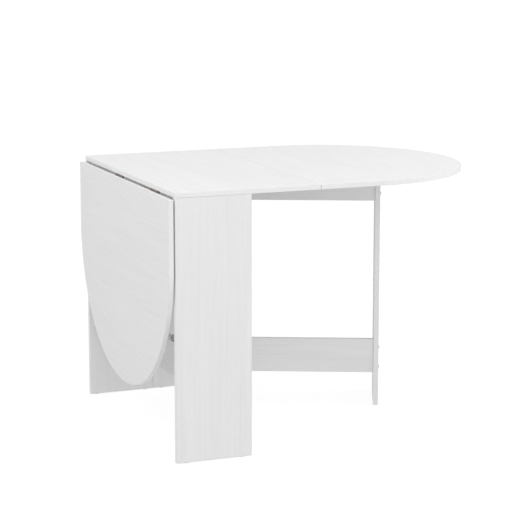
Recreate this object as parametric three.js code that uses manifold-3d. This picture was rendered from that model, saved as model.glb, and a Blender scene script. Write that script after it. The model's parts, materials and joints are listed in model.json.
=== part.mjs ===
// Gateleg table: a narrow fixed centre on two staggered end panels, two half-round drop
// leaves, and two swinging gates. Units are millimetres, +Z is up, the floor is z = 0.
// The table has two-fold symmetry about the vertical axis through the centre top: the
// right side is shown with its leaf raised and its gate open, the left side with its
// leaf hanging and its gate closed.
import * as THREE from 'three';
import { mergeVertices } from 'three/addons/utils/BufferGeometryUtils.js';
import Module from 'manifold-3d';

// ---- driving dimensions -------------------------------------------------------------
const HEIGHT = 740;            // floor to top face
const DEPTH = 810;             // length of the hinge lines, near end to far end
const CENTRE_WIDTH = 420;      // fixed centre top, across the leaves' direction
const TOP_T = 13;              // thickness of centre top and leaves
const BOARD_T = 15;            // thickness of end panels, stretchers, rails and gate legs
const LEAF_OUT = 585;          // leaf, from its hinge edge to its tip
const LEAF_STRAIGHT = 188;     // straight part of the leaf's sides before the round end
const LEAF_GAP = 1;            // seam between centre top and a raised leaf
const LEAF_AXIS_DROP = 4;      // leaf hinge axis below the underside of the boards
const GLIDE_T = 2;             // plastic glide under each foot
const FIT = 0.3;               // clearance between pieces that touch

const STRETCHER_LOW = [102, 205];
const STRETCHER_HIGH = [624, HEIGHT - TOP_T - FIT];
const RAIL_LOW = [102, 205];
const RAIL_HIGH = [624, 718.5];  // kept under the leaf hinges' knuckles

const GATE_AXIS_OFF = 2.5;     // gate hinge axis, off the stretcher's face
const GATE_AXIS_FROM_END = 599; // gate hinge axis, from the end face that the gate closes to
const GATE_LEG_EDGE = -1.7;    // near edge of the gate leg, which almost meets the end panel's edge
const GATE_OPEN_DEG = 65.6;    // swing of a gate from closed to its stop
const LEAF_HINGE_AT = [243, -68]; // leaf hinge centres along the hinge line
const BOLT = { radius: 2.5, head: 5, headT: 2, length: 50, hole: 2.85 }; // gate bolts

// ---- derived ------------------------------------------------------------------------
const HALF_W = CENTRE_WIDTH / 2, HALF_D = DEPTH / 2;
const UNDER = HEIGHT - TOP_T;                       // underside of the boards
const LEAF_AXIS_Z = UNDER - LEAF_AXIS_DROP;
const LEAF_AXIS_X = HALF_W + LEAF_GAP / 2;
const GATE_AXIS = [BOARD_T / 2 + GATE_AXIS_OFF, GATE_AXIS_FROM_END - HALF_D];
const GATE_LEG_IN = GATE_AXIS_FROM_END - BOARD_T;   // inner face of the gate leg, from the axis
const GATE_LEG_W = HALF_W - GATE_AXIS[0];           // far edge of the gate leg, from the axis
const SIDE_LOW = -(LEAF_AXIS_X + LEAF_AXIS_DROP + TOP_T);
const SIDE_HIGH = LEAF_AXIS_X + LEAF_GAP / 2 + LEAF_OUT;
const ORIGIN_X = (SIDE_LOW + SIDE_HIGH) / 2;        // origin: middle of the footprint's box,
const ORIGIN_Y = (FIT + BOLT.headT) / 2;            // with the closed gate's bolt heads at the far end

// ---- materials ----------------------------------------------------------------------
const white = () => new THREE.MeshStandardMaterial({ color: 0xf2f2f3, roughness: 0.55, metalness: 0 });
const steel = () => new THREE.MeshStandardMaterial({ color: 0x54494a, roughness: 0.45, metalness: 0.8 });
const zinc = () => new THREE.MeshStandardMaterial({ color: 0xc4c6c8, roughness: 0.3, metalness: 0.9 });
const grey = () => new THREE.MeshStandardMaterial({ color: 0x6f6c6e, roughness: 0.6, metalness: 0 });
const clear = () => new THREE.MeshStandardMaterial({ color: 0xe9e9ea, roughness: 0.5, metalness: 0 });

// ---- boolean helpers ----------------------------------------------------------------
const wasm = await Module();
wasm.setup();

function solid(geometry) {
  const g = geometry.clone();
  for (const key of Object.keys(g.attributes)) if (key !== 'position') g.deleteAttribute(key);
  const m = mergeVertices(g, 1e-4);
  return new wasm.Manifold(new wasm.Mesh({
    numProp: 3,
    vertProperties: new Float32Array(m.attributes.position.array),
    triVerts: new Uint32Array(m.index.array),
  }));
}

function geometryOf(manifold) {
  const m = manifold.getMesh();
  const g = new THREE.BufferGeometry();
  g.setAttribute('position', new THREE.BufferAttribute(new Float32Array(m.vertProperties), 3));
  g.setIndex(new THREE.BufferAttribute(new Uint32Array(m.triVerts), 1));
  g.computeVertexNormals();
  return g;
}

// A box from its lowest to its highest corner.
function block(x0, x1, y0, y1, z0, z1) {
  return new THREE.BoxGeometry(x1 - x0, y1 - y0, z1 - z0)
    .translate((x0 + x1) / 2, (y0 + y1) / 2, (z0 + z1) / 2);
}

// A cylinder along axis 'x', 'y' or 'z', from a to b on that axis, centred on (p, q) of the
// other two, in the order x, y, z.
function rod(axis, a, b, p, q, radius, sides = 12) {
  const g = new THREE.CylinderGeometry(radius, radius, b - a, sides);
  if (axis === 'x') return g.rotateZ(-Math.PI / 2).translate((a + b) / 2, p, q);
  if (axis === 'y') return g.translate(p, (a + b) / 2, q);
  return g.rotateX(Math.PI / 2).translate(p, q, (a + b) / 2);
}

const named = (name, geometry, material) => {
  const mesh = new THREE.Mesh(geometry, material);
  mesh.name = name;
  return mesh;
};

const table = new THREE.Group();
table.position.set(-ORIGIN_X, -ORIGIN_Y, 0);

// ---- fixed carcass ------------------------------------------------------------------
const carcass = new THREE.Group();
table.add(carcass);
carcass.add(named('centre_top', block(-HALF_W, HALF_W, -HALF_D, HALF_D, UNDER, HEIGHT), white()));
carcass.add(named('upper_stretcher', block(-BOARD_T / 2, BOARD_T / 2,
  -HALF_D + BOARD_T + FIT, HALF_D - BOARD_T - FIT, ...STRETCHER_HIGH), white()));
carcass.add(named('lower_stretcher', block(-BOARD_T / 2, BOARD_T / 2,
  -HALF_D + BOARD_T + FIT, HALF_D - BOARD_T - FIT, ...STRETCHER_LOW), white()));

// ---- one butt hinge -----------------------------------------------------------------
// Its pin lies on the local Y axis. Both leaves lie flat at local z = seat when the hinge
// is opened out; the fixed leaf points to -X and the moving one to +X. The fixed leaf has
// the two outer knuckles, the moving leaf the middle one.
function hingeLeaf({ length, width, thick, seat, knuckle, bore, clear: c }, moving) {
  const half = length / 2, third = length / 6;
  const s = moving ? 1 : -1;
  const z0 = seat - FIT - thick, z1 = seat - FIT;
  const back = knuckle + 0.5;
  const spans = moving ? [[-third + c, third - c]] : [[-half, -third - c], [third + c, half]];
  const xs = s > 0 ? [back, width] : [-width, -back];
  let body = solid(block(xs[0], xs[1], -half, half, z0, z1));
  for (const [a, b] of spans) {
    const tab = s > 0 ? [0, back + 0.5] : [-back - 0.5, 0];
    body = body.add(solid(block(tab[0], tab[1], a, b, z0, z1)));
    body = body.add(solid(rod('y', a, b, 0, 0, knuckle)));
  }
  body = body.subtract(solid(rod('y', -half - 1, half + 1, 0, 0, bore)));
  return geometryOf(body);
}
function hingePin({ length, pin, knuckle }) {
  const half = length / 2;
  let body = solid(rod('y', -half - 0.6, half + 0.7, 0, 0, pin));
  body = body.add(solid(rod('y', half + 0.2, half + 1.2, 0, 0, knuckle * 0.8)));
  return geometryOf(body);
}
const LEAF_HINGE = { length: 65, width: 30, thick: 1.5, seat: LEAF_AXIS_DROP, knuckle: 3.2, bore: 1.7, pin: 1.6, clear: 0.2 };
const GATE_HINGE = { length: 50, width: 22, thick: 1.2, seat: GATE_AXIS_OFF, knuckle: 2.1, bore: 1.2, pin: 1.12, clear: 0.2 };

// ---- one drop leaf ------------------------------------------------------------------
// Local frame: the hinge axis is the Y axis, the raised leaf runs to +X.
function leafBoard() {
  const start = LEAF_GAP / 2, a = LEAF_OUT - LEAF_STRAIGHT, steps = 64;
  const outline = new THREE.Shape();
  outline.moveTo(start, -HALF_D);
  for (let i = 0; i <= steps; i++) {
    const t = -Math.PI / 2 + (Math.PI * i) / steps;
    outline.lineTo(start + LEAF_STRAIGHT + a * Math.cos(t), HALF_D * Math.sin(t));
  }
  outline.lineTo(start, HALF_D);
  outline.closePath();
  return new THREE.ExtrudeGeometry(outline, { depth: TOP_T, bevelEnabled: false })
    .translate(0, 0, LEAF_AXIS_DROP);
}

// Stop block under the leaf, behind the open gate's upper rail. It is set square to the
// open gate, so it is made in the gate's frame and turned into the leaf's.
const STOP = { along: [470, 530], back: 20, drop: 27 };
function stopBlock() {
  const turn = -THREE.MathUtils.degToRad(90 - GATE_OPEN_DEG);
  return block(STOP.along[0], STOP.along[1], GATE_AXIS_OFF + BOARD_T + 0.4,
    GATE_AXIS_OFF + BOARD_T + 0.4 + STOP.back, UNDER - STOP.drop, UNDER - FIT)
    .rotateZ(turn)
    .translate(GATE_AXIS[0] - LEAF_AXIS_X, GATE_AXIS[1], -LEAF_AXIS_Z);
}

// ---- one gate -----------------------------------------------------------------------
// Local frame: the hinge axis is the Z axis, the rails run to +X, and the leg board
// reaches from the rails to +Y.
const BOLT_Z = [119, 179, 645, 697];
const BOLT_NAMES = ['lower_bolt_a', 'lower_bolt_b', 'upper_bolt_a', 'upper_bolt_b'];
const RAIL_MID = GATE_AXIS_OFF + BOARD_T / 2;

function gateLeg() {
  let body = solid(block(GATE_LEG_IN, GATE_LEG_IN + BOARD_T, GATE_LEG_EDGE, GATE_LEG_W, GLIDE_T, UNDER - FIT));
  for (const z of BOLT_Z)
    body = body.subtract(solid(rod('x', GATE_LEG_IN - 2, GATE_LEG_IN + BOARD_T + 2, RAIL_MID, z, BOLT.hole)));
  return geometryOf(body);
}
function gateRail([z0, z1]) {
  let body = solid(block(3, GATE_LEG_IN - FIT, GATE_AXIS_OFF, GATE_AXIS_OFF + BOARD_T, z0, z1));
  for (const z of BOLT_Z) if (z > z0 && z < z1)
    body = body.subtract(solid(rod('x', GATE_LEG_IN + BOARD_T - BOLT.length - 1, GATE_LEG_IN + 2, RAIL_MID, z, BOLT.hole)));
  return geometryOf(body);
}
function gateBolt(z) {
  const face = GATE_LEG_IN + BOARD_T + FIT;
  let body = solid(rod('x', face - BOLT.length, face + 0.5, RAIL_MID, z, BOLT.radius));
  body = body.add(solid(rod('x', face, face + BOLT.headT, RAIL_MID, z, BOLT.head, 16)));
  body = body.subtract(solid(rod('x', face + 0.6, face + BOLT.headT + 1, RAIL_MID, z, 2, 6)));
  return geometryOf(body);
}

// ---- friction catch -----------------------------------------------------------------
// Screwed to the lower stretcher's top edge, it reaches out over the closed gate's lower
// rail and bears on the rail's top edge, so the rail itself carries nothing.
const CATCH_AT = 354;          // along the gate, from its hinge axis
const CATCH = { half: 20, bodyHalf: 12, height: 16, reach: 25 };
function catchHousing() {
  const y = GATE_AXIS[1] - CATCH_AT, z = STRETCHER_LOW[1] + FIT;
  const foot = solid(block(-6, 7.4, y - CATCH.half, y + CATCH.half, z, z + 5));
  return geometryOf(foot.add(solid(block(-5, CATCH.reach, y - CATCH.bodyHalf, y + CATCH.bodyHalf, z + 0.5, z + CATCH.height))));
}

// ---- both sides ---------------------------------------------------------------------
// Each side is built in the same frame and the left one is turned half round.
for (const side of ['right', 'left']) {
  const half = new THREE.Group();
  if (side === 'left') half.rotation.z = Math.PI;
  table.add(half);

  // End panel that carries this side's closed gate hinge end, and its glides. The panel
  // of the right-hand gate's hinge end is the far one.
  const end = side === 'right' ? 'far' : 'near';
  half.add(named(`${end}_end_panel`, block(-BOARD_T / 2, HALF_W, HALF_D - BOARD_T, HALF_D, GLIDE_T, UNDER - FIT), white()));
  for (const [tag, x] of [['inner', 20], ['outer', HALF_W - 28]])
    half.add(named(`${end}_panel_glide_${tag}`, rod('z', 0, GLIDE_T - FIT, x, HALF_D - BOARD_T / 2, 6.5, 16), clear()));

  // Leaf, with its stop block and the moving halves of its hinges.
  const axis = new THREE.Group();
  axis.position.set(LEAF_AXIS_X, 0, LEAF_AXIS_Z);
  half.add(axis);
  const leaf = new THREE.Group();
  if (side === 'left') leaf.rotation.y = Math.PI / 2;
  axis.add(leaf);
  leaf.add(named(`${side}_leaf`, leafBoard(), white()));
  leaf.add(named(`${side}_leaf_stop_block`, stopBlock(), white()));
  LEAF_HINGE_AT.forEach((y, i) => {
    const tag = `${side}_leaf_hinge_${'ab'[i]}`;
    const fixed = named(`${tag}_fixed_plate`, hingeLeaf(LEAF_HINGE, false), steel());
    const pin = named(`${tag}_pin`, hingePin(LEAF_HINGE), steel());
    const moving = named(`${tag}_moving_plate`, hingeLeaf(LEAF_HINGE, true), steel());
    fixed.position.y = pin.position.y = moving.position.y = y;
    axis.add(fixed, pin);
    leaf.add(moving);
  });

  // Gate, with its bolts, glides and the moving halves of its hinges.
  const post = new THREE.Group();
  post.position.set(GATE_AXIS[0], GATE_AXIS[1], 0);
  half.add(post);
  const gate = new THREE.Group();
  gate.rotation.z = -THREE.MathUtils.degToRad(side === 'right' ? 90 - GATE_OPEN_DEG : 90);
  post.add(gate);
  gate.add(named(`${side}_gate_leg`, gateLeg(), white()));
  gate.add(named(`${side}_gate_upper_rail`, gateRail(RAIL_HIGH), white()));
  gate.add(named(`${side}_gate_lower_rail`, gateRail(RAIL_LOW), white()));
  BOLT_Z.forEach((z, i) => gate.add(named(`${side}_gate_${BOLT_NAMES[i]}`, gateBolt(z), zinc())));
  for (const [tag, y] of [['inner', 24], ['outer', GATE_LEG_W - 22]])
    gate.add(named(`${side}_gate_glide_${tag}`, rod('z', 0, GLIDE_T - FIT, GATE_LEG_IN + BOARD_T / 2, y, 6.5, 16), clear()));
  for (const [level, z] of [['lower', 153.5], ['upper', 671]]) {
    // The pin stands upright. Folded shut, the fixed leaf lies on the stretcher's face and
    // the moving leaf on the rail's, both pointing to the gate's leg.
    const tag = `${side}_gate_${level}_hinge`;
    const fixed = named(`${tag}_fixed_plate`, hingeLeaf(GATE_HINGE, false)
      .rotateX(-Math.PI / 2).rotateZ(Math.PI / 2), steel());
    const pin = named(`${tag}_pin`, hingePin(GATE_HINGE).rotateX(Math.PI / 2), steel());
    const moving = named(`${tag}_moving_plate`, hingeLeaf(GATE_HINGE, true)
      .rotateX(-Math.PI / 2), steel());
    fixed.position.z = pin.position.z = moving.position.z = z;
    post.add(fixed, pin);
    gate.add(moving);
  }
  half.add(named(`${side}_gate_catch_housing`, catchHousing(), grey()));
}

export default table;
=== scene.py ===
import json
import math

import bpy
import bmesh
import numpy as np
from mathutils import Matrix, Vector


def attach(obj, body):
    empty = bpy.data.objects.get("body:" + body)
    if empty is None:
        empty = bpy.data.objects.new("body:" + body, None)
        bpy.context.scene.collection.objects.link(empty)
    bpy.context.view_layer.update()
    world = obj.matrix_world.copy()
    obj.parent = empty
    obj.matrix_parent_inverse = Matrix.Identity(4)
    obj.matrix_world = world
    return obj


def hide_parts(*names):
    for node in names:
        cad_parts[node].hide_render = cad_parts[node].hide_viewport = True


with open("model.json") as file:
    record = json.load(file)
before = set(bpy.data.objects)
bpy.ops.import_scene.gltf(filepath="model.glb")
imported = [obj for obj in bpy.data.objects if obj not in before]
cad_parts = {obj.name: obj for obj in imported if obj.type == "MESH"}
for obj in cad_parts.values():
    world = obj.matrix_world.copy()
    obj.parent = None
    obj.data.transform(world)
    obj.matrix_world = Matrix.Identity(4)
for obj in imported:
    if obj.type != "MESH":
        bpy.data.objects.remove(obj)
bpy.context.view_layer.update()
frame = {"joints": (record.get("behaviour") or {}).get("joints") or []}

MM = 0.001

# ---------------------------------------------------------------------------------------
# Sizes of the design, in millimetres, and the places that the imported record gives.
# ---------------------------------------------------------------------------------------
DEPTH, CENTRE_W, TOP_T, BOARD_T = 810.0, 420.0, 13.0, 15.0
LEAF_OUT, LEAF_STRAIGHT, LEAF_GAP, AXIS_DROP = 585.0, 188.0, 1.0, 4.0
HALF_W, HALF_D = CENTRE_W / 2, DEPTH / 2
UNDER, TOP, FIT, FOOT = 727.0, 740.0, 0.3, 2.0
GATE_OFF, GATE_IN, GATE_OPEN = 2.5, 584.0, 65.6
GATE_AXIS_X, GATE_AXIS_Y = 10.0, 194.0
LEG_EDGE, LEG_W = -1.7, HALF_W - GATE_AXIS_X
LEAF_HINGE_AT = (243.0, -68.0)
BOLT_Z = (119.0, 179.0, 645.0, 697.0)
RAIL_LOW, RAIL_HIGH = (102.0, 205.0), (624.0, 718.5)

joints = {j["name"]: j for j in frame["joints"]}
leaf_r = Vector(joints["right_leaf_hinge"]["pos_m"])
leaf_l = Vector(joints["left_leaf_hinge"]["pos_m"])
gate_r = Vector(joints["right_gate_hinge"]["pos_m"])
gate_l = Vector(joints["left_gate_hinge"]["pos_m"])
middle = Vector(((leaf_r.x + leaf_l.x) / 2, (gate_r.y + gate_l.y) / 2, 0))


def turn(deg, axis):
    return Matrix.Rotation(math.radians(deg), 4, axis)


HALF = {"right": Matrix.Translation(middle)}
HALF["left"] = HALF["right"] @ turn(180, "Z")
AXIS = {s: HALF[s] @ Matrix.Translation(Vector((HALF_W + LEAF_GAP / 2, 0, UNDER - AXIS_DROP)) * MM) for s in HALF}
LEAF = {"right": AXIS["right"], "left": AXIS["left"] @ turn(90, "Y")}
POST = {s: HALF[s] @ Matrix.Translation(Vector((GATE_AXIS_X, GATE_AXIS_Y, 0)) * MM) for s in HALF}
GATE = {"right": POST["right"] @ turn(-(90 - GATE_OPEN), "Z"), "left": POST["left"] @ turn(-90, "Z")}


# ---------------------------------------------------------------------------------------
# Materials
# ---------------------------------------------------------------------------------------
def nodes_of(name):
    m = bpy.data.materials.new(name)
    m.use_nodes = True
    nt = m.node_tree
    nt.nodes.clear()
    out = nt.nodes.new("ShaderNodeOutputMaterial")
    p = nt.nodes.new("ShaderNodeBsdfPrincipled")
    nt.links.new(p.outputs["BSDF"], out.inputs["Surface"])
    return m, nt, p


def add(nt, kind, **values):
    n = nt.nodes.new(kind)
    for k, v in values.items():
        if k in n.inputs:
            n.inputs[k].default_value = v
        else:
            setattr(n, k, v)
    return n


def scaled(nt, scale, offset=(0, 0, 0)):
    tc = add(nt, "ShaderNodeTexCoord")
    mp = add(nt, "ShaderNodeMapping")
    mp.inputs["Scale"].default_value = scale
    mp.inputs["Location"].default_value = offset
    nt.links.new(tc.outputs["Object"], mp.inputs["Vector"])
    return mp.outputs["Vector"]


def noise(nt, vector, scale=1.0, detail=4.0, rough=0.5, distortion=0.0):
    n = add(nt, "ShaderNodeTexNoise")
    n.inputs["Scale"].default_value = scale
    n.inputs["Detail"].default_value = detail
    n.inputs["Roughness"].default_value = rough
    n.inputs["Distortion"].default_value = distortion
    nt.links.new(vector, n.inputs["Vector"])
    return n.outputs["Fac"]


def ramp(nt, fac, stops):
    r = add(nt, "ShaderNodeValToRGB")
    els = r.color_ramp.elements
    while len(els) < len(stops):
        els.new(0.5)
    for e, (pos, c) in zip(els, stops):
        e.position = pos
        e.color = (*c, 1) if hasattr(c, "__len__") else (c, c, c, 1)
    nt.links.new(fac, r.inputs["Fac"])
    return r.outputs["Color"]


def maths(nt, op, a, b):
    n = add(nt, "ShaderNodeMath", operation=op)
    for i, v in enumerate((a, b)):
        if isinstance(v, (int, float)):
            n.inputs[i].default_value = v
        else:
            nt.links.new(v, n.inputs[i])
    return n.outputs[0]


def mixed(nt, fac, a, b, blend="MIX"):
    n = add(nt, "ShaderNodeMix", data_type="RGBA", blend_type=blend)
    for sock, v in ((n.inputs[0], fac), (n.inputs[6], a), (n.inputs[7], b)):
        if isinstance(v, (int, float)):
            sock.default_value = v
        elif isinstance(v, tuple):
            sock.default_value = (*v, 1)
        else:
            nt.links.new(v, sock)
    return n.outputs[2]


def bump(nt, p, height, strength, distance):
    b = add(nt, "ShaderNodeBump")
    b.inputs["Strength"].default_value = strength
    b.inputs["Distance"].default_value = distance
    nt.links.new(height, b.inputs["Height"])
    nt.links.new(b.outputs["Normal"], p.inputs["Normal"])


def along(axis, run, across):
    return tuple(run if a == axis else across for a in "xyz")


def melamine(axis, shade=1.0):
    """White melamine foil pressed with a fine open wood grain that runs along one axis."""
    m, nt, p = nodes_of("melamine_grain_" + axis)
    # broad bands of the figure, then the drawn-out grain lines, then short pores
    band = noise(nt, scaled(nt, along(axis, 1.6, 26), (3.1, 1.7, 5.3)), 1.0, 3, 0.55, 0.6)
    line = noise(nt, scaled(nt, along(axis, 4.5, 210), (9.2, 4.4, 2.6)), 1.0, 5, 0.62, 0.35)
    pore = noise(nt, scaled(nt, along(axis, 60, 1500)), 1.0, 2, 0.5)
    pores = ramp(nt, pore, [(0.0, 0.0), (0.36, 0.0), (0.46, 1.0), (1.0, 1.0)])
    tone = maths(nt, "ADD", maths(nt, "MULTIPLY", band, 0.40), maths(nt, "MULTIPLY", line, 0.60))
    a, b, c = 0.785 * shade, 0.822 * shade, 0.856 * shade
    col = ramp(nt, tone, [(0.30, (a, a, a * 1.003)), (0.5, (b, b, b * 1.002)), (0.70, (c, c, c))])
    col = mixed(nt, maths(nt, "MULTIPLY", maths(nt, "SUBTRACT", 1.0, pores), 0.10), col, (0.60, 0.60, 0.605))
    nt.links.new(col, p.inputs["Base Color"])
    nt.links.new(maths(nt, "ADD", maths(nt, "MULTIPLY", line, 0.22), 0.40), p.inputs["Roughness"])
    p.inputs["Specular IOR Level"].default_value = 0.35
    h = maths(nt, "ADD", maths(nt, "MULTIPLY", line, 0.5), maths(nt, "MULTIPLY", pores, 0.5))
    bump(nt, p, h, 0.35, 0.00035)
    return m


def edge_band(axis):
    """ABS edging: smoother than the face, with faint lines from its extrusion."""
    m, nt, p = nodes_of("edging_" + axis)
    line = noise(nt, scaled(nt, along(axis, 2.2, 700)), 1.0, 3, 0.5)
    soft = noise(nt, scaled(nt, (9, 9, 9)), 1.0, 2, 0.5)
    tone = maths(nt, "ADD", maths(nt, "MULTIPLY", line, 0.6), maths(nt, "MULTIPLY", soft, 0.4))
    nt.links.new(ramp(nt, tone, [(0.3, 0.80), (0.7, 0.86)]), p.inputs["Base Color"])
    nt.links.new(maths(nt, "ADD", maths(nt, "MULTIPLY", soft, 0.15), 0.33), p.inputs["Roughness"])
    p.inputs["Specular IOR Level"].default_value = 0.45
    bump(nt, p, line, 0.2, 0.0001)
    return m


def glue_line():
    m, nt, p = nodes_of("edging_joint")
    n = noise(nt, scaled(nt, (140, 140, 140)), 1.0, 3, 0.6)
    nt.links.new(ramp(nt, n, [(0.3, (0.36, 0.35, 0.33)), (0.7, (0.52, 0.51, 0.49))]), p.inputs["Base Color"])
    p.inputs["Roughness"].default_value = 0.8
    return m


def chipboard():
    m, nt, p = nodes_of("chipboard_core")
    v = add(nt, "ShaderNodeTexVoronoi", feature="F1")
    v.inputs["Scale"].default_value = 420
    v.inputs["Randomness"].default_value = 1.0
    nt.links.new(scaled(nt, (1, 1, 1)), v.inputs["Vector"])
    chips = ramp(nt, v.outputs["Color"], [(0.1, (0.33, 0.22, 0.13)), (0.45, (0.52, 0.38, 0.24)), (0.75, (0.63, 0.49, 0.33)), (1.0, (0.71, 0.58, 0.42))])
    dust = noise(nt, scaled(nt, (900, 900, 900)), 1.0, 3, 0.6)
    nt.links.new(mixed(nt, maths(nt, "MULTIPLY", dust, 0.45), chips, (0.42, 0.30, 0.19)), p.inputs["Base Color"])
    p.inputs["Roughness"].default_value = 0.9
    bump(nt, p, maths(nt, "ADD", v.outputs["Distance"], maths(nt, "MULTIPLY", dust, 0.3)), 0.8, 0.0005)
    return m


def metal(name, dark, light, rough, bright=1.0, worn=None):
    """Plated steel: rolling lines, a little uneven colour, and brighter high spots."""
    m, nt, p = nodes_of(name)
    fine = noise(nt, scaled(nt, (260, 2400, 260)), 1.0, 4, 0.6)
    blot = noise(nt, scaled(nt, (120, 120, 120)), 1.0, 4, 0.6, 0.4)
    col = ramp(nt, maths(nt, "ADD", maths(nt, "MULTIPLY", fine, 0.4), maths(nt, "MULTIPLY", blot, 0.6)), [(0.3, dark), (0.7, light)])
    if worn:
        g = add(nt, "ShaderNodeNewGeometry")
        edge = ramp(nt, g.outputs["Pointiness"], [(0.50, 0.0), (0.58, 1.0)])
        col = mixed(nt, maths(nt, "MULTIPLY", edge, 0.6), col, worn)
    nt.links.new(col, p.inputs["Base Color"])
    p.inputs["Metallic"].default_value = bright
    nt.links.new(maths(nt, "ADD", maths(nt, "MULTIPLY", blot, 0.2), rough - 0.1), p.inputs["Roughness"])
    bump(nt, p, fine, 0.25, 0.00008)
    return m


def plastic(name, dark, light, rough, grain=1400, through=0.0):
    m, nt, p = nodes_of(name)
    tex = noise(nt, scaled(nt, (grain,) * 3), 1.0, 3, 0.55)
    soft = noise(nt, scaled(nt, (45, 45, 45)), 1.0, 2, 0.5)
    nt.links.new(ramp(nt, maths(nt, "ADD", maths(nt, "MULTIPLY", tex, 0.35), maths(nt, "MULTIPLY", soft, 0.65)), [(0.3, dark), (0.7, light)]), p.inputs["Base Color"])
    nt.links.new(maths(nt, "ADD", maths(nt, "MULTIPLY", tex, 0.2), rough - 0.1), p.inputs["Roughness"])
    if through:
        p.inputs["Subsurface Weight"].default_value = through
        p.inputs["Subsurface Radius"].default_value = (0.002, 0.002, 0.002)
        p.inputs["Subsurface Scale"].default_value = 0.5
    bump(nt, p, tex, 0.3, 0.00012)
    return m


MEL = {a: melamine(a) for a in "xyz"}
BAND = {a: edge_band(a) for a in "xyz"}
GLUE, CHIP = glue_line(), chipboard()
BRONZE = metal("hinge_bronzed_steel", (0.085, 0.060, 0.062), (0.150, 0.110, 0.110), 0.42, 0.85, (0.42, 0.34, 0.31))
PIN = metal("hinge_pin_steel", (0.16, 0.13, 0.13), (0.24, 0.20, 0.20), 0.33, 0.9, (0.5, 0.44, 0.41))
ZINC = metal("zinc_plate", (0.50, 0.51, 0.53), (0.66, 0.67, 0.69), 0.34, 0.95, (0.80, 0.81, 0.82))
CAM = metal("cam_zinc_casting", (0.42, 0.42, 0.43), (0.56, 0.56, 0.57), 0.46, 0.9, (0.72, 0.72, 0.73))
GREY = plastic("catch_grey_plastic", (0.40, 0.395, 0.40), (0.50, 0.49, 0.495), 0.5)
CLEAR = plastic("glide_white_plastic", (0.66, 0.66, 0.65), (0.76, 0.76, 0.75), 0.4, 900, 0.15)
PAINT = plastic("stop_block_white", (0.76, 0.76, 0.76), (0.84, 0.84, 0.84), 0.5, 500)

# ---------------------------------------------------------------------------------------
# Mesh helpers
# ---------------------------------------------------------------------------------------


def from_bmesh(name, bm, mats, matrix, sharp=38, keep_smooth=True):
    bmesh.ops.remove_doubles(bm, verts=bm.verts, dist=1e-8)
    bm.normal_update()
    for f in bm.faces:
        f.smooth = keep_smooth
    for e in bm.edges:
        if len(e.link_faces) == 2 and e.calc_face_angle(0) > math.radians(sharp):
            e.smooth = False
    me = bpy.data.meshes.new(name)
    bm.to_mesh(me)
    bm.free()
    for m in mats:
        me.materials.append(m)
    ob = bpy.data.objects.new(name, me)
    bpy.context.scene.collection.objects.link(ob)
    ob.matrix_world = matrix
    w = ob.modifiers.new("even_normals", "WEIGHTED_NORMAL")
    w.keep_sharp = True
    w.weight = 60
    return ob


def put(ob, body, slot, *nodes):
    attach(ob, body)
    if nodes:
        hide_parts(*nodes)
    return ob


def rounded(points, radii, seg=4):
    """A convex outline, anticlockwise, with its corners rounded."""
    out = []
    n = len(points)
    for i in range(n):
        p, a, b = (Vector(points[k % n]) for k in (i, i - 1, i + 1))
        r = radii[i] if hasattr(radii, "__len__") else radii
        if r <= 0:
            out.append(tuple(p))
            continue
        u, v = (a - p).normalized(), (b - p).normalized()
        half = u.angle(v) / 2
        c = p + (u + v).normalized() * (r / math.sin(half))
        s, e = p + u * (r / math.tan(half)), p + v * (r / math.tan(half))
        a0 = math.atan2(s.y - c.y, s.x - c.x)
        a1 = math.atan2(e.y - c.y, e.x - c.x)
        while a1 < a0:
            a1 += 2 * math.pi
        for k in range(seg + 1):
            t = a0 + (a1 - a0) * k / seg
            out.append((c.x + r * math.cos(t), c.y + r * math.sin(t)))
    return out


def rect(x0, x1, y0, y1, r=1.4, seg=4):
    return rounded([(x0, y0), (x1, y0), (x1, y1), (x0, y1)], r, seg)


def inset(points, d):
    p = np.array(points, float)
    e = np.roll(p, -1, 0) - p
    nrm = np.stack([-e[:, 1], e[:, 0]], 1) / np.linalg.norm(e, axis=1)[:, None]
    prev = np.roll(nrm, 1, 0)
    return p + d * (nrm + prev) / (1 + (nrm * prev).sum(1))[:, None]


def lofted(bm, rings, mats, cap_mat=0):
    """Rings from the top one to the bottom one, joined and capped. Each ring is a list of 3-D points in mm."""
    made = [[bm.verts.new(Vector(q) * MM) for q in r] for r in rings]
    n = len(made[0])
    for k in range(len(made) - 1):
        for i in range(n):
            j = (i + 1) % n
            f = bm.faces.new((made[k + 1][i], made[k + 1][j], made[k][j], made[k][i]))
            f.material_index = mats[k]
    for ring, flip in ((made[0], False), (made[-1], True)):
        f = bm.faces.new(ring[::-1] if flip else ring)
        f.material_index = cap_mat
    return made


FLAT = {"z": lambda u, v, w: (u, v, w), "y": lambda u, v, w: (u, -w, v), "x": lambda u, v, w: (w, u, v)}


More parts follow.
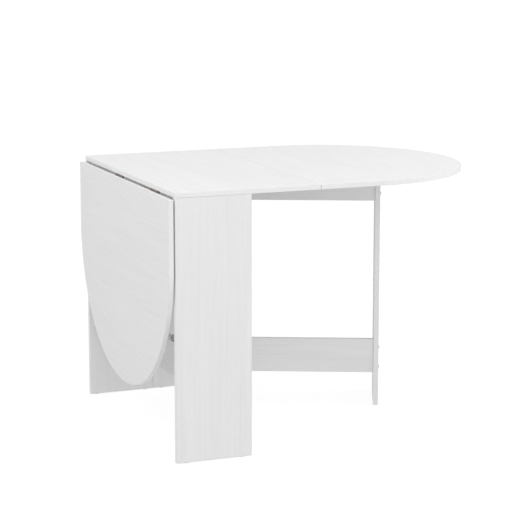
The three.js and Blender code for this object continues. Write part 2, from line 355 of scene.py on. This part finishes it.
def slab(name, outline, w0, w1, normal, grain, matrix, raw=None, round_=0.5, band_axis=None, groove=True, holes=()):
    """A faced board with edging all round: a hairline joint runs just inside each arris.
    outline is in the board's plane; w0 to w1 is its thickness along the plane's normal, with y boards measured along -y."""
    place = FLAT[normal]
    prof, mats = [], []
    if groove:
        prof += [(1.10, w1), (1.05, w1 - 0.10), (1.00, w1)]
        mats += [2, 2, 1]
    for k in range(4):
        a = math.pi / 2 * k / 3
        prof.append((round_ * (1 - math.sin(a)), w1 - round_ * (1 - math.cos(a))))
        mats.append(1)
    for k in range(4):
        a = math.pi / 2 * (1 - k / 3)
        prof.append((round_ * (1 - math.sin(a)), w0 + round_ * (1 - math.cos(a))))
        mats.append(1)
    if groove:
        prof += [(1.00, w0), (1.05, w0 + 0.10), (1.10, w0)]
        mats += [2, 2]
    mats = mats[: len(prof) - 1]
    if groove:
        mats[0], mats[1], mats[2], mats[-1], mats[-2], mats[-3] = 2, 2, 1, 2, 2, 1
    bm = bmesh.new()
    lofted(bm, [[place(q[0], q[1], w) for q in inset(outline, d)] for d, w in prof], mats)
    bm.normal_update()
    if raw:  # the edge that has no edging, by its outward direction
        d = Vector(raw)
        for f in bm.faces:
            if f.material_index == 1 and f.normal.dot(d) > 0.95:
                f.material_index = 3
    for tool in holes:  # drilled, so the chipboard shows inside
        bm = cut(bm, tool)
    return from_bmesh(name, bm, [MEL[grain], BAND[band_axis or grain], GLUE, CHIP], matrix)


def drilled(x0, x1, y, z, r=2.85):
    bm = bmesh.new()
    lathe(bm, [(0, x1), (r, x1), (r, x0), (0, x0)], 32, mat=3, axis="x", at=(0, y, z))
    return bm


def lathe(bm, profile, seg=32, mat=0, axis="z", at=(0, 0, 0)):
    """A closed turned form. profile is (radius, height) from the top centre to the bottom centre, in mm."""
    rings = []
    for r, h in profile:
        if r < 1e-6:
            q = [(0, 0, h)]
        else:
            q = [(r * math.cos(2 * math.pi * k / seg), r * math.sin(2 * math.pi * k / seg), h) for k in range(seg)]
        swap = {"z": lambda p: p, "x": lambda p: (p[2], p[0], p[1]), "y": lambda p: (p[1], p[2], p[0])}[axis]
        rings.append([bm.verts.new((Vector(swap(p)) + Vector(at)) * MM) for p in q])
    for a, b in zip(rings, rings[1:]):
        for k in range(seg):
            j = (k + 1) % seg
            if len(a) == 1 and len(b) == 1:
                continue
            if len(a) == 1:
                f = (b[k], b[j], a[0])
            elif len(b) == 1:
                f = (b[0], a[j], a[k])
            else:
                f = (b[k], b[j], a[j], a[k])
            bm.faces.new(f).material_index = mat
    return rings


def extruded(bm, outline, h0, h1, place, mat=0, soft=0.0):
    """An outline in mm, anticlockwise, extruded from h0 to h1 with softened arrises. place turns (u, v, h) into x, y, z."""
    if soft:
        prof = [(soft, h1), (soft * 0.3, h1 - soft * 0.3), (0, h1 - soft), (0, h0 + soft), (soft * 0.3, h0 + soft * 0.3), (soft, h0)]
    else:
        prof = [(0, h1), (0, h0)]
    lofted(bm, [[place(q[0], q[1], h) for q in inset(outline, d)] for d, h in prof], [mat] * (len(prof) - 1), mat)


def temp(bm):
    me = bpy.data.meshes.new("temp")
    bmesh.ops.recalc_face_normals(bm, faces=bm.faces)
    bm.to_mesh(me)
    bm.free()
    ob = bpy.data.objects.new("temp", me)
    bpy.context.scene.collection.objects.link(ob)
    return ob


def cut(base, tool, how="DIFFERENCE"):
    """base and tool are bmeshes; the result is a new bmesh."""
    a, b = temp(base), temp(tool)
    mod = a.modifiers.new("b", "BOOLEAN")
    mod.operation, mod.solver, mod.object = how, "EXACT", b
    bpy.context.view_layer.update()
    ev = a.evaluated_get(bpy.context.evaluated_depsgraph_get())
    me = bpy.data.meshes.new_from_object(ev)
    out = bmesh.new()
    out.from_mesh(me)
    for o in (a, b):
        old = o.data
        bpy.data.objects.remove(o)
        bpy.data.meshes.remove(old)
    bpy.data.meshes.remove(me)
    return out


def scattered(bm, mesh_bm, matrices):
    """Copies of mesh_bm's form at each matrix, added to bm."""
    me = bpy.data.meshes.new("copy")
    mesh_bm.to_mesh(me)
    for m in matrices:
        start = len(bm.verts)
        bm.from_mesh(me)
        bm.verts.ensure_lookup_table()
        for v in bm.verts[start:]:
            v.co = m @ v.co
    bpy.data.meshes.remove(me)


def at(x, y, z, rot=None):
    m = Matrix.Translation(Vector((x, y, z)) * MM)
    return m @ rot if rot is not None else m


# ---------------------------------------------------------------------------------------
# Hardware, each made once and placed many times
# ---------------------------------------------------------------------------------------
def cross_recess(size, depth, top):
    """Tapered cross, to be cut into a screw head whose face is at height top."""
    bm = bmesh.new()
    for k in range(2):
        a, b = size, size * 0.24
        pts = [(-a, -b), (a, -b), (a, b), (-a, b)]
        if k:
            pts = [(-b, -a), (b, -a), (b, a), (-b, a)]
        low = [(x * 0.55, y * 0.8) for x, y in pts]
        part = bmesh.new()
        lofted(part, [[(x, y, top + 0.4) for x, y in pts], [(x, y, top - depth) for x, y in low]], [0])
        if k == 0:
            bm.free()
            bm = part
        else:
            bm = cut(bm, part, "UNION")
    return bm


def screw(head_r, head_h, shank_r, length, domed=0.25, seg=28):
    """Countersunk cross-head screw. Its head's face is at z = 0 and it points down."""
    bm = bmesh.new()
    lathe(bm, [(0, domed), (head_r * 0.45, domed * 0.85), (head_r * 0.8, domed * 0.4), (head_r, 0), (head_r, -0.25),
               (shank_r, -head_h), (shank_r, -length + 1.5), (0, -length)], seg)
    return cut(bm, cross_recess(head_r * 0.62, head_h * 0.55, domed))


def hinge_half(h, moving):
    """One half of a butt hinge: a plate with rounded corners and countersunk holes whose
    inner side is drawn down and rolled round the pin. The pin lies on the local Y axis."""
    s = 1 if moving else -1
    L, third, t = h["length"] / 2, h["length"] / 6, h["thick"]
    z1, z0 = h["seat"] - FIT, h["seat"] - FIT - t
    back, w, R, c = h["knuckle"] + 0.5, h["width"], h["knuckle"], h["clear"]
    spans = [(-third + c, third - c)] if moving else [(-L, -third - c), (third + c, L)]
    bm = bmesh.new()
    rs = [0.6, 3.0, 3.0, 0.6] if s > 0 else [3.0, 0.6, 0.6, 3.0]
    out = rounded([(min(s * back, s * w), -L), (max(s * back, s * w), -L), (max(s * back, s * w), L), (min(s * back, s * w), L)], rs, 5)
    extruded(bm, out, z0, z1, FLAT["z"], soft=0.22)
    for a, b in spans:  # rolled knuckles
        bore = h["bore"]
        pts = [(back + 1.2, z1 - 0.03), (R * 0.75, z1 - 0.1), (R * 0.35, (z1 + R) / 2 + 0.1)]
        pts += [(R * math.cos(math.radians(d)), R * math.sin(math.radians(d))) for d in range(90, 331, 12)]
        end = [(bore * math.cos(math.radians(d)), bore * math.sin(math.radians(d))) for d in range(330, 89, -15)]
        pts += end + [(R * 0.35, bore + 0.08), (R * 0.8, z0 + 0.05), (back + 1.2, z0 + 0.03)]
        pts = [(s * x, z) for x, z in pts]
        if s > 0:  # keep it anticlockwise seen along -y
            pts = pts[::-1]
        roll = bmesh.new()
        ring = lambda y, k: [(x * k[0] + k[1], y, z) for x, z in pts]
        rows = [(a, 0), (b, 0)]
        lofted(roll, [[(x, y, z) for x, z in pts] for y, _ in rows], [0])
        bmesh.ops.recalc_face_normals(roll, faces=roll.faces)
        bm = cut(bm, roll, "UNION")
    holes = []
    n = h["screws"]
    for k in range(n):
        y = (k - (n - 1) / 2) * (2 * L / n) * 1.02
        x = back + (w - back) * (0.62 if k % 2 == 0 else 0.36)
        holes.append((s * x, y))
        tool = bmesh.new()
        up = 1 if h["face_down"] else 1
        r = h["screw_r"]
        # the open side of a hinge's plate is the side away from the board: the low-z side
        lathe(tool, [(0, z1 + 1), (r * 0.55, z1 + 1), (r * 0.55, z0 + t * 0.55), (r * 1.06, z0 - 0.02), (r * 1.06, z0 - 1), (0, z0 - 1)], 28, at=(s * x, y, 0))
        bm = cut(bm, tool)
    return bm, [(x, y, z0) for x, y in holes]


LEAF_H = dict(length=65, width=30, thick=1.5, seat=AXIS_DROP, knuckle=3.2, bore=1.7, pin=1.6, clear=0.2, screws=3, screw_r=3.6, face_down=True)
GATE_H = dict(length=50, width=22, thick=1.2, seat=GATE_OFF, knuckle=2.1, bore=1.2, pin=1.12, clear=0.2, screws=3, screw_r=2.9, face_down=True)


def pin_form(h):
    L, p, k = h["length"] / 2, h["pin"], h["knuckle"] * 0.8
    bm = bmesh.new()
    lathe(bm, [(0, L + 1.2), (k * 0.6, L + 1.15), (k * 0.92, L + 0.85), (k, L + 0.4), (k * 0.95, L + 0.2), (p, L + 0.2), (p, -L - 0.1),
               (p * 0.9, -L - 0.4), (p * 0.5, -L - 0.58), (0, -L - 0.6)], 28, axis="y")
    return bm


HW = {}
for key, h in (("leaf", LEAF_H), ("gate", GATE_H)):
    HW[key] = {}
    for moving in (False, True):
        HW[key][moving] = hinge_half(h, moving)
    HW[key]["pin"] = pin_form(h)
    # screws are upside down here: their heads face the plate's open side, which is -z
    HW[key]["screw"] = screw(h["screw_r"], h["thick"] * 0.95, h["screw_r"] * 0.45, 11 if key == "gate" else 10.5)


def copy_of(bm):
    return bm.copy()


def hinge(tag, key, fixed_m, moving_m, pin_m, fixed_body, moving_body):
    for moving, m, body, word in ((False, fixed_m, fixed_body, "fixed"), (True, moving_m, moving_body, "moving")):
        bm, holes = HW[key][moving]
        put(from_bmesh(f"{tag}_{word}_half", copy_of(bm), [BRONZE], m, 32), body, "hinge_steel", f"{tag}_{word}_plate")
        sc = bmesh.new()
        scattered(sc, HW[key]["screw"], [at(x, y, z + 0.12, turn(180, "X") @ turn(17 + 61 * i, "Z")) for i, (x, y, z) in enumerate(holes)])
        put(from_bmesh(f"{tag}_{word}_screws", sc, [PIN], m, 32), body, "hinge_steel")
    put(from_bmesh(f"{tag}_pin_dressed", copy_of(HW[key]["pin"]), [PIN], pin_m, 32), fixed_body, "hinge_steel", f"{tag}_pin")


# ---------------------------------------------------------------------------------------
# Carcass
# ---------------------------------------------------------------------------------------
W, H = "white_melamine", "hinge_steel"
centre = HALF["right"]
put(slab("centre_top_board", rect(-HALF_W, HALF_W, -HALF_D, HALF_D), UNDER, TOP, "z", "y", centre), "carcass", W, "centre_top")
for name, z0, z1 in (("upper_stretcher", 624.0, UNDER - FIT), ("lower_stretcher", 102.0, 205.0)):
    put(slab(name + "_board", rect(-HALF_D + BOARD_T + FIT, HALF_D - BOARD_T - FIT, z0, z1), -BOARD_T / 2, BOARD_T / 2, "x", "y", centre), "carcass", W, name)
for side, end in (("right", "far"), ("left", "near")):
    put(slab(f"{end}_end_panel_board", rect(-BOARD_T / 2, HALF_W, FOOT, UNDER - FIT), -HALF_D, -HALF_D + BOARD_T, "y", "z", HALF[side], raw=(0, 0, -1)),
        "carcass", W, f"{end}_end_panel")


def glide(name, x, y, matrix, body, *nodes):
    """Nail-on glide: a domed plastic foot with a moulded ring."""
    bm = bmesh.new()
    lathe(bm, [(0, 1.68), (5.6, 1.68), (6.3, 1.45), (6.5, 1.05), (6.4, 0.6), (5.7, 0.2), (4.6, 0.03), (0, 0.0)], 40, at=(x, y, 0))
    put(from_bmesh(name, bm, [CLEAR], matrix), body, "glide_plastic", *nodes)


for side, end in (("right", "far"), ("left", "near")):
    for tag, x in (("inner", 20), ("outer", HALF_W - 28)):
        glide(f"{end}_foot_{tag}", x, HALF_D - BOARD_T / 2, HALF[side], "carcass", f"{end}_panel_glide_{tag}")


def cam_form():
    """Cam of a knock-down fitting, seen on the board's face: a rim, and a disc with a cross slot."""
    bm = bmesh.new()
    lathe(bm, [(0, 0.12), (6.2, 0.12), (6.5, 0.0), (6.7, -0.35), (6.9, 0.0), (7.4, 0.16), (7.5, 0.05), (7.5, -1.5), (0, -1.5)], 40)
    slot_ = bmesh.new()
    lofted(slot_, [[(x, y, 0.6) for x, y in ((-4.2, -0.6), (4.2, -0.6), (4.2, 0.6), (-4.2, 0.6))],
                   [(x, y, -0.9) for x, y in ((-3.8, -0.5), (3.8, -0.5), (3.8, 0.5), (-3.8, 0.5))]], [0])
    bm = cut(bm, slot_)
    slot_ = bmesh.new()
    lofted(slot_, [[(x, y, 0.6) for x, y in ((-0.6, -4.2), (0.6, -4.2), (0.6, 4.2), (-0.6, 4.2))],
                   [(x, y, -0.9) for x, y in ((-0.5, -3.8), (0.5, -3.8), (0.5, 3.8), (-0.5, 3.8))]], [0])
    return cut(bm, slot_)


CAM_FORM = cam_form()
for name, zs in (("upper_stretcher", (648.0, 702.0)), ("lower_stretcher", (126.0, 181.0))):
    bm = bmesh.new()
    mats = []
    for y in (-HALF_D + BOARD_T + 34, HALF_D - BOARD_T - 34):
        for i, z in enumerate(zs):
            s = 1 if y > 0 else -1
            mats.append(at(s * BOARD_T / 2, y, z, turn(90 * s, "Y") @ turn(23 + 40 * i, "Z")))
    scattered(bm, CAM_FORM, mats)
    put(from_bmesh(name + "_cams", bm, [CAM], centre, 32), "carcass", "zinc_fastener")
for side, end in (("right", "far"), ("left", "near")):
    bm = bmesh.new()
    scattered(bm, CAM_FORM, [at(x, HALF_D - BOARD_T, UNDER - 34, turn(90, "X") @ turn(11 + x, "Z")) for x in (44, 166)])
    put(from_bmesh(f"{end}_end_panel_cams", bm, [CAM], HALF[side], 32), "carcass", "zinc_fastener")


# ---------------------------------------------------------------------------------------
# Leaves, gates and what is on them, built alike for both sides
# ---------------------------------------------------------------------------------------
def leaf_outline(steps=150):
    x0, a = LEAF_GAP / 2, LEAF_OUT - LEAF_STRAIGHT
    curve = [(x0 + LEAF_STRAIGHT + a * math.cos(t), HALF_D * math.sin(t)) for t in (-math.pi / 2 + math.pi * k / steps for k in range(steps + 1))]
    first = rounded([(x0, -HALF_D), (x0 + 50, -HALF_D), (x0, -HALF_D + 50)], [1.4, 0, 0])[:5]
    last = rounded([(x0, HALF_D), (x0, HALF_D - 50), (x0 + 50, HALF_D)], [1.4, 0, 0])[:5]
    return first + curve + last


def bolt_form():
    """Furniture bolt with a low round head and a hexagon socket; its head's seat is at z = 0 and it points down."""
    bm = bmesh.new()
    thread = [(r, -20.0 - 1.4 * k - d) for k in range(20) for r, d in ((2.5, 0.0), (2.12, 0.7))]
    lathe(bm, [(0, 2.0), (3.6, 2.0), (4.35, 1.82), (4.8, 1.35), (5.0, 0.7), (4.95, 0.0), (2.5, 0.0), (2.5, -19.3)] + thread + [(2.45, -48.2), (1.9, -50), (0, -50)], 32)
    hexa = [(2.2 * math.cos(math.radians(60 * k)), 2.2 * math.sin(math.radians(60 * k))) for k in range(6)]
    tool = bmesh.new()
    lofted(tool, [[(x, y, 2.6) for x, y in hexa], [(x * 0.93, y * 0.93, 0.4) for x, y in hexa]], [0])
    return cut(bm, tool)


BOLT_FORM = bolt_form()
WOOD_SCREW = screw(3.4, 2.0, 1.6, 9)


def catch_housing(matrix, name, *nodes):
    """Moulded catch: a screwed foot on the stretcher and a hooded body over the rail."""
    y, z = GATE_AXIS_Y - 354, 205 + FIT
    bm = bmesh.new()
    extruded(bm, rounded([(-6, y - 20), (7.4, y - 20), (7.4, y + 20), (-6, y + 20)], [2.5, 0.8, 0.8, 2.5]), z, z + 4.6, FLAT["z"], soft=0.4)
    sec = rounded([(-4.8, z + 0.6), (16.0, z + 0.6), (18.0, z + 0.6), (24.9, z + 3.2), (24.9, z + 11.0), (19.0, z + 15.9), (-4.8, z + 15.9)], [1.3, 0, 1.2, 1.4, 2.2, 3.0, 2.2], 5)
    rows = [(11.95, 0.6), (11.75, 0.2), (11.35, 0.0), (-11.35, 0.0), (-11.75, 0.2), (-11.95, 0.6)]
    body = bmesh.new()
    lofted(body, [[(u, y + q, w) for u, w in inset(sec, d)] for q, d in rows], [0] * 5)
    bmesh.ops.recalc_face_normals(body, faces=body.faces)
    bm = cut(bm, body, "UNION")
    for dy in (-15.8, 15.8):  # slotted ears
        tool = bmesh.new()
        extruded(tool, rounded([(-2.6, y + dy - 1.7), (4.0, y + dy - 1.7), (4.0, y + dy + 1.7), (-2.6, y + dy + 1.7)], 1.65), z - 1, z + 6, FLAT["z"])
        bm = cut(bm, tool)
    for k in range(4):  # grip ribs across the sloping nose and the lid
        tool = bmesh.new()
        u = 0.5 + 4 * k
        lofted(tool, [[(u - 0.7, y - 9, z + 17), (u + 0.7, y - 9, z + 17), (u + 0.7, y + 9, z + 17), (u - 0.7, y + 9, z + 17)],
                      [(u - 0.4, y - 8.6, z + 15.2), (u + 0.4, y - 8.6, z + 15.2), (u + 0.4, y + 8.6, z + 15.2), (u - 0.4, y + 8.6, z + 15.2)]], [0])
        bm = cut(bm, tool)
    tool = bmesh.new()  # window in the nose
    extruded(tool, rounded([(y - 7, z + 4.6), (y + 7, z + 4.6), (y + 7, z + 9.4), (y - 7, z + 9.4)], 1.0), 23.2, 27, FLAT["x"])
    bm = cut(bm, tool)
    put(from_bmesh(name + "_case", bm, [GREY], matrix, 32), "carcass", "catch_plastic", *nodes)
    sc = bmesh.new()
    scattered(sc, screw(2.9, 1.6, 1.4, 9), [at(0.7, y + dy, z + 4.75, turn(31 + dy * 3, "Z")) for dy in (-15.8, 15.8)])
    put(from_bmesh(name + "_screws", sc, [ZINC], matrix, 32), "carcass", "zinc_fastener")


def stop_block(matrix, name, body, *nodes):
    """Chamfered block under the leaf, set square to the open gate, with two sunk screws."""
    m = matrix @ Matrix.Translation(Vector((GATE_AXIS_X - HALF_W - LEAF_GAP / 2, GATE_AXIS_Y, -(UNDER - AXIS_DROP))) * MM) @ turn(-(90 - GATE_OPEN), "Z")
    y0 = GATE_OFF + BOARD_T + 0.4
    bm = bmesh.new()
    lofted(bm, [[(q[0], q[1], h) for q in inset(rect(470, 530, y0, y0 + 20, 3.4), d)]
                for d, h in ((0.3, UNDER - FIT), (0, UNDER - FIT - 0.3), (0, UNDER - 22), (0.4, UNDER - 24.8), (1.5, UNDER - 26.6), (2.2, UNDER - 27))], [0] * 5)
    for x in (484, 516):
        tool = bmesh.new()
        lathe(tool, [(0, UNDER - 18), (2.2, UNDER - 18), (2.2, UNDER - 23), (4.2, UNDER - 25), (4.2, UNDER - 28), (0, UNDER - 28)], 32, at=(x, y0 + 10, 0))
        bm = cut(bm, tool)
    put(from_bmesh(name + "_body", bm, [PAINT], m, 32), body, W, *nodes)
    sc = bmesh.new()
    scattered(sc, WOOD_SCREW, [at(x, y0 + 10, UNDER - 24.6, turn(180, "X") @ turn(x, "Z")) for x in (484, 516)])
    put(from_bmesh(name + "_screws", sc, [ZINC], m, 32), body, "zinc_fastener")


for side in ("right", "left"):
    leaf, gate = f"{side}_leaf", f"{side}_gate"
    ob = slab(f"{side}_leaf_board", leaf_outline(), AXIS_DROP, AXIS_DROP + TOP_T, "z", "y", LEAF[side])
    put(ob, leaf, W, leaf)
    stop_block(LEAF[side], f"{side}_stop_block", leaf, f"{side}_leaf_stop_block")
    for i, y in enumerate(LEAF_HINGE_AT):
        shift = Matrix.Translation(Vector((0, y, 0)) * MM)
        hinge(f"{side}_leaf_hinge_{'ab'[i]}", "leaf", AXIS[side] @ shift, LEAF[side] @ shift, AXIS[side] @ shift, "carcass", leaf)

    g = GATE[side]
    put(slab(f"{side}_gate_leg_board", rect(LEG_EDGE, LEG_W, FOOT, UNDER - FIT), GATE_IN, GATE_IN + BOARD_T, "x", "z", g, raw=(0, 0, -1),
             holes=[drilled(GATE_IN - 2, GATE_IN + BOARD_T + 2, GATE_OFF + BOARD_T / 2, z) for z in BOLT_Z]), gate, W, f"{side}_gate_leg")
    for level, (z0, z1) in (("lower", RAIL_LOW), ("upper", RAIL_HIGH)):
        put(slab(f"{side}_gate_{level}_rail_board", rect(3, GATE_IN - FIT, z0, z1), -GATE_OFF - BOARD_T, -GATE_OFF, "y", "x", g,
                 holes=[drilled(GATE_IN + BOARD_T - 51, GATE_IN + 2, GATE_OFF + BOARD_T / 2, z) for z in BOLT_Z if z0 < z < z1]), gate, W, f"{side}_gate_{level}_rail")
        shift = Matrix.Translation(Vector((0, 0, {"lower": 153.5, "upper": 671.0}[level])) * MM)
        # pin upright; the fixed half points along the stretcher to the gate's leg when shut
        hinge(f"{side}_gate_{level}_hinge", "gate", POST[side] @ shift @ turn(90, "Z") @ turn(-90, "X"), g @ shift @ turn(-90, "X"),
              POST[side] @ shift @ turn(90, "X"), "carcass", gate)
    for i, z in enumerate(BOLT_Z):
        node = f"{side}_gate_" + ("lower_bolt_a", "lower_bolt_b", "upper_bolt_a", "upper_bolt_b")[i]
        m = g @ at(GATE_IN + BOARD_T + FIT, GATE_OFF + BOARD_T / 2, z, turn(90, "Y") @ turn(13 * i, "Z"))
        put(from_bmesh(node + "_turned", copy_of(BOLT_FORM), [ZINC], m, 32), gate, "zinc_fastener", node)
    for tag, y in (("inner", 24), ("outer", LEG_W - 22)):
        glide(f"{side}_gate_foot_{tag}", GATE_IN + BOARD_T / 2, y, g, gate, f"{side}_gate_glide_{tag}")
    catch_housing(HALF[side], f"{side}_catch", f"{side}_gate_catch_housing")

# ---------------------------------------------------------------------------------------
# Floor, light and camera
# ---------------------------------------------------------------------------------------
bm = bmesh.new()
bmesh.ops.create_grid(bm, x_segments=2, y_segments=2, size=60)
me = bpy.data.meshes.new("floor")
bm.to_mesh(me)
bm.free()
floor = bpy.data.objects.new("floor", me)
bpy.context.scene.collection.objects.link(floor)
m, nt, p = nodes_of("pale_floor")
p.inputs["Base Color"].default_value = (0.17, 0.17, 0.17, 1)
p.inputs["Roughness"].default_value = 1.0
p.inputs["Specular IOR Level"].default_value = 0.0
p.inputs["Emission Color"].default_value = (1, 1, 1, 1)
p.inputs["Emission Strength"].default_value = 0.88
# the floor is one-sided, so that the table can be seen from underneath
side_of = add(nt, "ShaderNodeNewGeometry")
see_through = add(nt, "ShaderNodeBsdfTransparent")
choose = add(nt, "ShaderNodeMixShader")
nt.links.new(side_of.outputs["Backfacing"], choose.inputs[0])
nt.links.new(p.outputs["BSDF"], choose.inputs[1])
nt.links.new(see_through.outputs["BSDF"], choose.inputs[2])
nt.links.new(choose.outputs[0], nt.nodes["Material Output"].inputs["Surface"])
me.materials.append(m)
floor.location.z = -0.0004
floor.visible_diffuse = False
floor.visible_glossy = False

world = bpy.data.worlds.new("studio")
bpy.context.scene.world = world
world.use_nodes = True
nt = world.node_tree
nt.nodes.clear()
tc = nt.nodes.new("ShaderNodeTexCoord")
sep = nt.nodes.new("ShaderNodeSeparateXYZ")
nt.links.new(tc.outputs["Generated"], sep.inputs[0])
above = maths(nt, "GREATER_THAN", sep.outputs["Z"], 0.0)
sky = maths(nt, "ADD", maths(nt, "MULTIPLY", maths(nt, "MAXIMUM", sep.outputs["Z"], 0.0), 0.65), 0.32)
level = maths(nt, "ADD", maths(nt, "MULTIPLY", above, sky), maths(nt, "MULTIPLY", maths(nt, "SUBTRACT", 1.0, above), 0.81))
bg = nt.nodes.new("ShaderNodeBackground")
bg.inputs["Color"].default_value = (1, 1, 1, 1)
nt.links.new(level, bg.inputs["Strength"])
seen = nt.nodes.new("ShaderNodeBackground")
seen.inputs["Color"].default_value = (1, 1, 1, 1)
seen.inputs["Strength"].default_value = 1.05
lp = nt.nodes.new("ShaderNodeLightPath")
mix = nt.nodes.new("ShaderNodeMixShader")
nt.links.new(lp.outputs["Is Camera Ray"], mix.inputs[0])
nt.links.new(bg.outputs[0], mix.inputs[1])
nt.links.new(seen.outputs[0], mix.inputs[2])
out = nt.nodes.new("ShaderNodeOutputWorld")
nt.links.new(mix.outputs[0], out.inputs["Surface"])


def area(name, loc, target, size, power):
    d = bpy.data.lights.new(name, "AREA")
    d.shape, d.size, d.size_y, d.energy = "RECTANGLE", size, size, power
    o = bpy.data.objects.new(name, d)
    bpy.context.scene.collection.objects.link(o)
    o.location = loc
    o.visible_glossy = False
    o.rotation_euler = (Vector(target) - Vector(loc)).to_track_quat("-Z", "Y").to_euler()
    return o


area("front_softbox", (-0.6, -3.6, 1.7), (0.0, 0.0, 0.5), 2.4, 28.4)
area("left_softbox", (-3.0, -0.5, 2.9), (0.0, 0.0, 0.5), 2.4, 39.4)
area("right_softbox", (3.0, -1.2, 2.6), (0.0, 0.0, 0.5), 2.4, 55.5)

YAW, PITCH, F_PX = 21.845, 10.648, 1908.5
cam_data = bpy.data.cameras.new("camera")
cam = bpy.data.objects.new("camera", cam_data)
bpy.context.scene.collection.objects.link(cam)
cam_data.sensor_fit = "HORIZONTAL"
cam_data.sensor_width = 36
cam_data.lens = F_PX / 515 * 36
cam_data.clip_end = 200
near_left = Vector((middle.x - HALF_W * MM, middle.y - HALF_D * MM, 0))
cam.location = near_left + Vector((-1.6436, -4.6837, 1.5011))
ya, pa = math.radians(YAW), math.radians(PITCH)
forward = Vector((math.sin(ya) * math.cos(pa), math.cos(ya) * math.cos(pa), -math.sin(pa)))
cam.rotation_mode = "QUATERNION"
cam.rotation_quaternion = forward.to_track_quat("-Z", "Y")
bpy.context.scene.camera = cam
vs = bpy.context.scene.view_settings
vs.view_transform, vs.look, vs.exposure, vs.gamma = "Standard", "None", 0.0, 1.0
